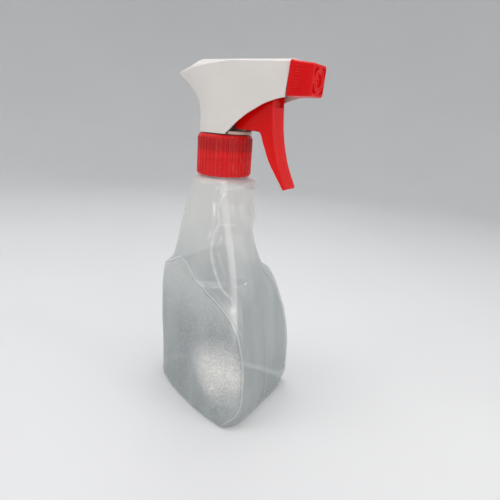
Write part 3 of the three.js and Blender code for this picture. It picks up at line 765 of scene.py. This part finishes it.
def shroud_reach(x, z):
    """Half width of the shroud where its side view has (x, z)."""
    back = shroud_back(z)
    tail = np.where(x < 0, np.sqrt(np.clip(1 - (x / back) ** 2, 0, 1)), 1)
    narrowing = (1 - NOSE_HALF_WIDTH / SHROUD_HALF_WIDTH) / TAPER_LENGTH
    taper = 1 - np.maximum(0, x - TAPER_START) * narrowing
    side = shroud_side(z) * tail * taper
    drop = np.clip((roof_ridge(x) - z) / roof_fall(x), 0, None)
    roof = SHROUD_HALF_WIDTH * taper * drop ** (1 / 1.4)
    blend = 1.5 * np.clip(np.minimum(side, roof) / 6, 0.02, 1)
    ahead = (x - 14) * 0.474 + (z - 217) * 0.881
    facet = 0.11 * (ahead + np.sqrt(ahead ** 2 + 0.8)) / 2
    return np.maximum(0, smooth_min(side, roof, blend) - facet * np.clip(roof / 6, 0, 1))


def make_shroud():
    back_top, front_top, nose = 209.75, 199.2, 44.55
    heights = np.linspace(SHROUD_FOOT, back_top, 90)
    back = np.column_stack((shroud_back(heights), heights))
    stations = np.linspace(back[-1, 0] + 0.3, nose, 150)
    ridge = np.column_stack((stations, roof_ridge(stations)))
    edge = polyline(np.vstack((back, ridge)), 240)
    heights = np.linspace(SHROUD_FOOT, front_top, 120)
    front = polyline(np.column_stack((shroud_front(heights), heights)), 240)
    share = np.linspace(0, 1, 80) ** 2
    plan = edge[:, None, :] * (1 - share)[None, :, None] + front[:, None, :] * share[None, :, None]
    x, z = plan[..., 0], plan[..., 1]
    y = shroud_reach(x, z)
    y[:, 0] = 0
    half = np.stack((x, -y, z), axis=-1)
    other = np.stack((x, y, z), axis=-1)[:, 1:]
    shell = np.concatenate((half[:, ::-1], other), axis=1)
    faces = grid_faces(*shell.shape[:2])
    piece = build("shroud_shell", shell.reshape(-1, 3), faces, WHITE, "head",
                  ("shroud",))
    thick = piece.modifiers.new("wall", "SOLIDIFY")
    thick.thickness = 1.35 * MM
    thick.offset = 1
    thick.use_even_offset = False
    edges = piece.modifiers.new("edges", "BEVEL")
    edges.width = 0.25 * MM
    edges.segments = 2
    edges.limit_method = "ANGLE"
    edges.angle_limit = math.radians(50)


make_shroud()


# ------------------------------------------------ nozzle

nozzle_joint = next(j for j in frame["joints"] if j["name"] == "nozzle_turn")
SPRAY = Vector(nozzle_joint["axis"]).normalized()
SPRAY_TURN = Vector((1, 0, 0)).rotation_difference(SPRAY).to_matrix()
ALONG_X = Matrix.Rotation(math.pi / 2, 3, "Y")


def on_spray_axis(part):
    """Turns a part made along +X onto the nozzle's axis."""
    return moved(part, SPRAY_TURN, SPRAY_ORIGIN)


def square_ring(half, corner, count):
    """Points round a rounded square in the YZ plane, evenly by angle, as (y, z)."""
    ring = []
    for a in np.linspace(0, 2 * math.pi, count, endpoint=False):
        c, s = math.cos(a), math.sin(a)
        flat = half / max(abs(c), abs(s))
        inner = half - corner
        if min(abs(c), abs(s)) * flat > inner:
            dot = inner * (abs(c) + abs(s))
            flat = dot + math.sqrt(max(0, dot ** 2 - 2 * inner ** 2 + corner ** 2))
        ring.append((flat * c, flat * s))
    return np.array(ring)


def side_bars(reach):
    """Plain short raised bars on the nozzle's two sides."""
    bars = []
    for side in (-1, 1):
        low, high = sorted((side * (reach - 0.5), side * (reach + 0.2)))
        for i in range(-4, 5):
            bars.append(box_part(3.2, 7.0, low, high, i * 1.5 - 0.34, i * 1.5 + 0.34, 0.2))
    return bars


def make_nozzle():
    length, rear_half, step, face_radius = 13.8, 9.25, 0.22, 6.0
    slope = math.tan(math.radians(3.8))
    count = 128
    angles = np.linspace(0, 2 * math.pi, count, endpoint=False)
    rings = []

    def add(x, outline):
        rings.append(np.column_stack((np.full(count, x), outline)))

    def circle(r):
        return np.column_stack((r * np.cos(angles), r * np.sin(angles)))

    def half_at(x):
        return rear_half - x * slope

    for x, r in ((10.2, 0.6), (10.2, 5.3), (0.6, 5.3), (0.0, 5.6)):
        add(x, circle(r))
    add(0.0, square_ring(rear_half - 1.0, 1.2, count))
    for x, drop in ((0.05, 0.45), (0.2, 0.2), (0.5, 0.0), (1.2, 0.0), (1.5, 0.1), (1.8, step)):
        add(x, square_ring(half_at(x) - drop, 1.4, count))
    for x in np.linspace(2.4, length - 1.2, 8):
        add(x, square_ring(half_at(x) - step, 1.4, count))
    for a in np.radians(np.linspace(15, 90, 6)):
        half = half_at(length) - step - 0.9 * (1 - math.cos(a))
        add(length - 0.9 + 0.9 * math.sin(a), square_ring(half, 1.5, count))
    square, disc = square_ring(half_at(length) - step - 0.9, 1.5, count), circle(face_radius)
    corner = smoothstep(np.abs(np.sin(2 * angles)), 0.5, 0.72)
    for share, depth in ((0.9, 0), (0.78, 0), (0.7, 0.5), (0.62, 1.1), (0.3, 1.2), (0.12, 1.2),
                         (0.04, 0.6), (0.0, 0.05)):
        outline = disc * (1 - share) + square * share
        rings.append(np.column_stack((length - depth * corner, outline)))
    for r, depth in ((5.7, -0.05), (5.2, -0.05), (4.95, 0.05), (4.7, 0.35), (4.45, 0.35),
                     (4.2, 0.05), (3.75, 0.0), (3.45, 0.1), (3.35, 0.5), (3.2, 0.95), (2.2, 1.0),
                     (1.2, 0.9), (0.75, 0.85), (0.55, 0.95), (0.5, 1.3), (0.5, 2.6)):
        add(length - depth, circle(r))
    vertices, faces = on_spray_axis(merged(loft(rings), *side_bars(half_at(5.1) - step)))
    build("nozzle_cap", vertices, faces, NOZZLE, "nozzle", ("nozzle",), sharp=48)


make_nozzle()


# ------------------------------------------------ trigger

TRIGGER_HALF = 6.4
TRIGGER_WALL = 1.3
PIN_HOLE_RADIUS = 1.5


def mirrored(points):
    """The same line on the other side of the middle, run backwards."""
    return [(d, -y) for d, y in reversed(points)]


def trigger_section(z, length):
    """Section of the lever at a height: depths behind its front line, and y places."""
    corner = min(1.1, 0.35 * length)
    floor = 1.4 + 1.8 * float(smoothstep(z, 191.5, 193.5))
    solid = 1 - float(smoothstep(z, 155, 158))
    floor += max(0, length - 0.5 - floor) * solid
    floor = min(floor, length - 0.45)
    half = TRIGGER_HALF - 0.35 * (1 - float(smoothstep(z, 149, 153)))
    inner = half - TRIGGER_WALL

    front = [(0.0, y) for y in np.linspace(-half + corner, half - corner, 41)]
    cheek = [(corner * (1 - math.sin(a)), half - corner * (1 - math.cos(a)))
             for a in np.radians(np.linspace(75, 15, 4))]
    cheek += [(d, half) for d in np.linspace(corner, length - 0.35, 14)]
    inside = [(length - 0.1, half - 0.08), (length, half - 0.4), (length, inner + 0.3),
              (length - 0.15, inner + 0.05)]
    inside += [(d, inner) for d in np.linspace(length - 0.4, floor + 0.3, 8)]
    inside.append((floor, inner - 0.4))
    bed = [(floor, y) for y in np.linspace(inner - 1, 1 - inner, 8)]
    d, y = np.array(mirrored(cheek) + front + cheek + inside + bed + mirrored(inside)).T

    facing = (d < corner * 0.9) & (np.abs(y) < half)
    flutes = (0.09 * np.cos(y * 2 * math.pi / 1.5)
              * smoothstep(z, 170, 176) * (1 - smoothstep(z, 189, 192)))
    side_groove = (0.4 * bead(np.abs(y) - 5.0, 0.45)
                   * smoothstep(z, 160, 166) * (1 - smoothstep(z, 178, 186)))
    opening = 1.2 + 2.0 * (1 - smoothstep(z, 150, 168))
    channel = (0.5 * (1 - smoothstep(np.abs(y), opening, opening + 0.7))
               * smoothstep(z, 150.3, 151.3) * (1 - smoothstep(z, 163, 168)))
    pocket = 1.5 * (1 - smoothstep(np.abs(y), 4.5, 4.9)) * smoothstep(z, 193.6, 194.1)
    return d + facing * (flutes + side_groove + channel + pocket), y


def trigger_lever():
    """Lever and cheeks, as sections between the front line and the line of the rear edge."""
    front = spline([[46.9, 149.25], [47.5, 150], [44.5, 156], [41.5, 163], [39.1, 171],
                    [37.6, 178], [36.7, 184], [36.2, 190], [35.9, 195], [35.5, 198.4]], 200)
    finger_side = spline([[46.2, 148.75], [45.3, 149.2], [42.5, 153.4], [39.5, 157.6],
                          [36.5, 161.7], [34.1, 165.9], [32.2, 170.2], [30.5, 173.8],
                          [29.4, 176.8], [28.2, 179.0], [26.4, 180.15]], 120)
    cheek_foot = polyline([[25.5, 180.2], [12.6, 180.2]], 20)
    cheek_top = spline([[11.6, 180.5], [10.7, 181.4], [10.5, 182.4], [11.2, 184.6],
                        [13, 187.5], [20, 192.5], [25.6, 196], [28.6, 199.2]], 60)
    back = np.vstack((finger_side, cheek_foot, cheek_top))
    knee = len(finger_side) / len(back)
    # how far up the front line a section starts, for how far along the rear edge it ends
    start_share = curve([[0, 0], [0.25, 0.26], [knee, 0.6], [knee + 0.1, 0.66], [1, 1]])
    wanted = start_share(np.linspace(0, 1, len(back)))
    along = np.linspace(0, 1, len(front))
    front = np.column_stack([np.interp(wanted, along, front[:, k]) for k in range(2)])
    rings = []
    for start, end in zip(front, back):
        length = np.linalg.norm(end - start)
        x_step, z_step = (end - start) / length
        d, y = trigger_section(start[1], length)
        rings.append(np.column_stack((start[0] + x_step * d, y, start[1] + z_step * d)))
    return loft(rings)


def trigger_ear(side):
    """Ear round one of the two pins."""
    outline = spline([[35.9, 196], [35.5, 198.4], [36, 200.5], [36, 203], [35.4, 204.4],
                      [34.4, 204.8], [31.2, 204.8], [30, 204.3], [29.4, 203], [28.9, 200.8],
                      [28.3, 199], [26, 196]], 64)
    middle = outline.mean(axis=0)
    start = math.atan2(outline[0, 1] - PIVOT_Z, outline[0, 0] - PIVOT_X)
    turn = start + np.linspace(0, 2 * math.pi, len(outline), endpoint=False)
    hole = np.column_stack((PIVOT_X + PIN_HOLE_RADIUS * np.cos(turn),
                            PIVOT_Z + PIN_HOLE_RADIUS * np.sin(turn)))
    inmost = TRIGGER_HALF - TRIGGER_WALL
    loops = [(y, middle + (outline - middle) * (1 - inset / 4.5))
             for y, inset in ((TRIGGER_HALF, 0.25), (TRIGGER_HALF - 0.1, 0.05),
                              (TRIGGER_HALF - 0.3, 0), (TRIGGER_HALF - 1.1, 0), (inmost, 0.15))]
    loops += [(inmost, hole), (TRIGGER_HALF - 0.1, hole), (TRIGGER_HALF, hole)]
    points, faces = looped([np.column_stack((loop[:, 0], np.full(len(loop), side * y), loop[:, 1]))
                            for y, loop in loops])
    return points, faces if side > 0 else [face[::-1] for face in faces]


def make_trigger():
    vertices, faces = merged(trigger_lever(), trigger_ear(-1), trigger_ear(1))
    build("trigger_lever", vertices, faces, TRIGGER, "trigger", ("trigger",),
          sharp=50)


make_trigger()


# ------------------------------------------------ pump body

def pump_shelf():
    """Plate ahead of the stem, an arc of the collar's plan."""
    angles = np.radians(np.linspace(-49.5, 49.5, 64))
    rings = []
    for reach, z in ((15.5, 177.0), (15.8, 177.1), (15.9, 177.4), (15.9, 178.4), (15.8, 178.7),
                     (15.5, 178.8)):
        arc = [(reach * math.cos(a), reach * math.sin(a), z) for a in angles]
        chord = [(10.4, reach * math.sin(a) * 0.98, z) for a in angles[::-1]]
        rings.append(arc + chord)
    return loft(rings)


def make_pump_body():
    flange = turned([(0, 174.2), (12.6, 174.2), (12.6, 175.2), (10.8, 175.6), (10.8, 176.9),
                     (13.2, 177), (13.2, 178.8), (0, 178.8)])
    stem = turned([(0, 177.5), (5.4, 177.6), (5.4, 208), (5.0, 210), (0, 210)])
    socket = turned_ring([(4.3, 158), (6.4, 158), (6.4, 174.5), (4.3, 174.5)])
    cylinder = turned_ring([(3.9, 10), (4.8, 10), (4.8, 25.6), (5.2, 26), (5.2, 27), (3.9, 27)])
    cylinder_floor = turned([(0, 4), (4.8, 4), (4.8, 10.3), (0, 10.3)])
    barrel = turned_ring([(2.7, -0.6), (2.7, 9.2), (4.0, 9.2), (4.0, 1.0), (4.5, 0.9),
                          (4.5, -51.9), (1.6, -51.9), (1.6, -0.6)])
    pin = turned([(0, -6.3), (1.4, -6.3), (1.4, 6.3), (0, 6.3)], 32, 0.2)
    along_y = Matrix.Rotation(math.pi / 2, 3, "X")
    pin_block = box_part(30.2, 35, -4.4, 4.4, 199.7, 206, 0.4)
    web = box_part(4, 14, -1, 1, 178.4, CYLINDER_Z, 0.2)
    vertices, faces = merged(flange, pump_shelf(), stem, socket,
                             moved(cylinder, ALONG_X, (0, 0, CYLINDER_Z)),
                             moved(cylinder_floor, ALONG_X, (0, 0, CYLINDER_Z)),
                             on_spray_axis(moved(barrel, ALONG_X)),
                             moved(pin, along_y, (PIVOT_X, 0, PIVOT_Z)), pin_block, web)
    build("pump_housing", vertices, faces, BEIGE, "head", ("pump_body",), sharp=45)


make_pump_body()


# ------------------------------------------------ tube and springs

def make_tube():
    route = spline([(0, 0, 165.3), (0.1, 0, 152), (1.6, 0, 136), (4.8, 0, 120), (8.4, 0, 104),
                    (11.6, 0, 88), (13.8, 0, 70), (15, 0, 50), (15.3, 0, 30), (14.8, 0, 7)], 160)
    vertices, faces = swept(route, radius=2.1, sides=28, bore=1.4)
    build("dip_tube_extruded", vertices, faces, SELF_LIT_TUBE, "head", ("dip_tube",), sharp=40)


def coil(mean, length, turns, start):
    """Path of a spring of a mean radius along +X."""
    t = np.linspace(0, 1, int(turns * 40))
    spin = t * turns * 2 * math.pi
    return np.column_stack((start + length * t, mean * np.cos(spin), mean * np.sin(spin)))


def make_springs():
    path = coil(mean=3, length=9.8, turns=5, start=10.65) + (0, 0, CYLINDER_Z)
    vertices, faces = swept(path, radius=0.3, sides=10)
    spring = build("return_spring_coil", vertices, faces, STEEL, "head",
                   ("return_spring",))
    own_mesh(spring)

    path = coil(mean=1.7, length=3.6, turns=3.5, start=1.4)
    vertices, faces = on_spray_axis(swept(path, radius=0.2, sides=10))
    spring = build("outlet_spring_coil", vertices, faces, STEEL, "head",
                   ("outlet_spring",))
    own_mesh(spring)


make_tube()
make_springs()


# ------------------------------------------------ inner pieces kept from the CAD

KEPT = {"tube_retainer": BEIGE, "inlet_ball": STEEL, "mouth_gasket": RUBBER, "vent_plug": RUBBER,
        "passage_plug": BEIGE, "pump_piston": INNER, "piston_seal": RUBBER,
        "outlet_valve": RUBBER, "swirl_core": INNER, "nozzle_seal": RUBBER}
for node, finish in KEPT.items():
    piece = frame["nodes"][node]
    if not piece.material_slots:
        piece.data.materials.append(None)
    piece.material_slots[0].material = finish


# ------------------------------------------------ studio

def make_studio():
    """Pale floor that curves up into a wall all round."""
    profile = [(1.7, 2.6)]
    for a in np.radians(np.linspace(90, 0, 24)):
        profile.append((0.9 + 0.8 * math.sin(a), 0.8 - 0.8 * math.cos(a)))
    profile += [(0.6, 0), (0.3, 0), (0.1, 0)]
    vertices, faces = loft(turned_rings(profile, 96), cap_first=False)
    mesh = bpy.data.meshes.new("studio_floor")
    mesh.from_pydata(vertices.tolist(), [], faces)
    mesh.shade_smooth()
    floor = bpy.data.objects.new("studio_floor", mesh)
    floor.location.z = cad_bounds[0].z - 0.0002
    bpy.context.scene.collection.objects.link(floor)
    n = Nodes("studio_paint")
    drift = n.range(n.noise(3, 2), 0.3, 0.7)
    n.set(Base_Color=n.blend(drift, (0.80, 0.80, 0.80), (0.78, 0.78, 0.785)), Roughness=0.7)
    mesh.materials.append(n.material)


def lamp(name, location, target, size, power, colour, spread=180):
    """Rectangular lamp aimed at a target; the camera doesn't see it."""
    light = bpy.data.lights.new(name, "AREA")
    light.shape = "RECTANGLE"
    light.size, light.size_y = size
    light.energy = power
    light.color = colour
    light.spread = math.radians(spread)
    place = bpy.data.objects.new(name, light)
    place.location = location
    place.rotation_euler = (Vector(target) - Vector(location)).to_track_quat("-Z", "Y").to_euler()
    place.visible_camera = False
    bpy.context.scene.collection.objects.link(place)


def make_lights():
    centre = (cad_bounds[0] + cad_bounds[1]) / 2
    low_panel = (0.027, -0.033, 0.035)
    warm_white = (1, 0.985, 0.965)
    lamp("key", (-0.70, -0.76, 0.8), centre, (0.8, 0.8), 3.4, warm_white)
    lamp("right", (0.75, -0.35, 0.36), centre, (0.35, 0.5), 1.1, (1, 0.96, 0.93))
    lamp("spark", (0.05, -0.9, 0.156), centre, (0.06, 0.06), 0.3, warm_white)
    lamp("glint", (0.50, 0.07, 0.79), centre, (0.06, 0.06), 0.3, warm_white)
    lamp("fill", (0.8, 0.15, 0.45), centre, (0.6, 0.6), 1.3, (1, 0.97, 0.95))
    lamp("top", (-0.1, 0.05, 0.9), centre, (0.6, 0.6), 3.6, (0.98, 0.99, 1.0))
    lamp("low", (-0.1, -0.4, 0.05), low_panel, (0.02, 0.02), 0.0024, (1, 0.89, 0.76), spread=5.5)
    world = bpy.data.worlds.new("studio_world")
    world.use_nodes = True
    sky = world.node_tree.nodes["Background"].inputs
    sky["Color"].default_value = (0.94, 0.97, 1.0, 1)
    sky["Strength"].default_value = 0.56
    bpy.context.scene.world = world
    bpy.context.scene.view_settings.view_transform = "Standard"


CAMERA_PLACE = (0.1581, -0.2231, 0.1882)
CAMERA_AHEAD = (-0.49341, 0.81719, -0.29791)
CAMERA_RIGHT = (0.84283, 0.53382, 0.06839)


def make_camera():
    """Camera at the photograph's angle."""
    data = bpy.data.cameras.new("camera")
    data.lens = 30.95
    data.sensor_width = 36
    data.clip_start = 0.01
    data.clip_end = 20
    right = Vector(CAMERA_RIGHT).normalized()
    ahead = Vector(CAMERA_AHEAD)
    ahead = (ahead - right * ahead.dot(right)).normalized()
    turn = Matrix((right, right.cross(ahead), -ahead)).transposed().to_4x4()
    turn.translation = CAMERA_PLACE
    camera = bpy.data.objects.new("camera", data)
    camera.matrix_world = turn
    bpy.context.scene.collection.objects.link(camera)
    bpy.context.scene.camera = camera


make_studio()
make_lights()
make_camera()

bpy.context.view_layer.update()
